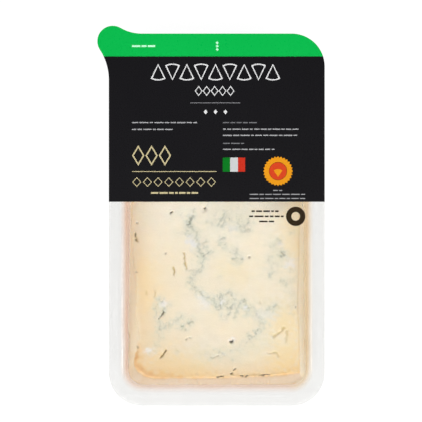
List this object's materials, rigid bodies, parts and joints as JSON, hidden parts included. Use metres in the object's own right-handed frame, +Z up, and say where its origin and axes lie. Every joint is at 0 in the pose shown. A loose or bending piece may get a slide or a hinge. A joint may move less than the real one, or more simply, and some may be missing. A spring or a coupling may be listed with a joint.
{
  "type": "packed gorgonzola wedge",
  "caption": "Wedge of blue-veined gorgonzola on its side in a shut clear tray, under a clear film printed black and green, with a round peel tab at one corner.",
  "frame": {"origin": "middle of the tray's flat base, on the surface that the pack lies on", "axes": "+Z up from the base to the film, +Y along the pack to the printed end with the peel tab, +X to the right of that, seen from above"},
  "size_m": [0.1106, 0.1848, 0.0303],
  "materials": {
    "tray": "clear formed polyester sheet, glossy",
    "cheese": "soft moist cheese, cream with blue-grey veins and a tan rind",
    "film": "clear lidding film, glossy",
    "black_print": "satin black ink on film",
    "green_print": "satin green ink on film"
  },
  "bodies": {
    "root": {"tray": "tray", "cheese": "cheese", "film": "film", "print_black": "black_print", "print_green": "green_print"}
  },
  "joints": []
}
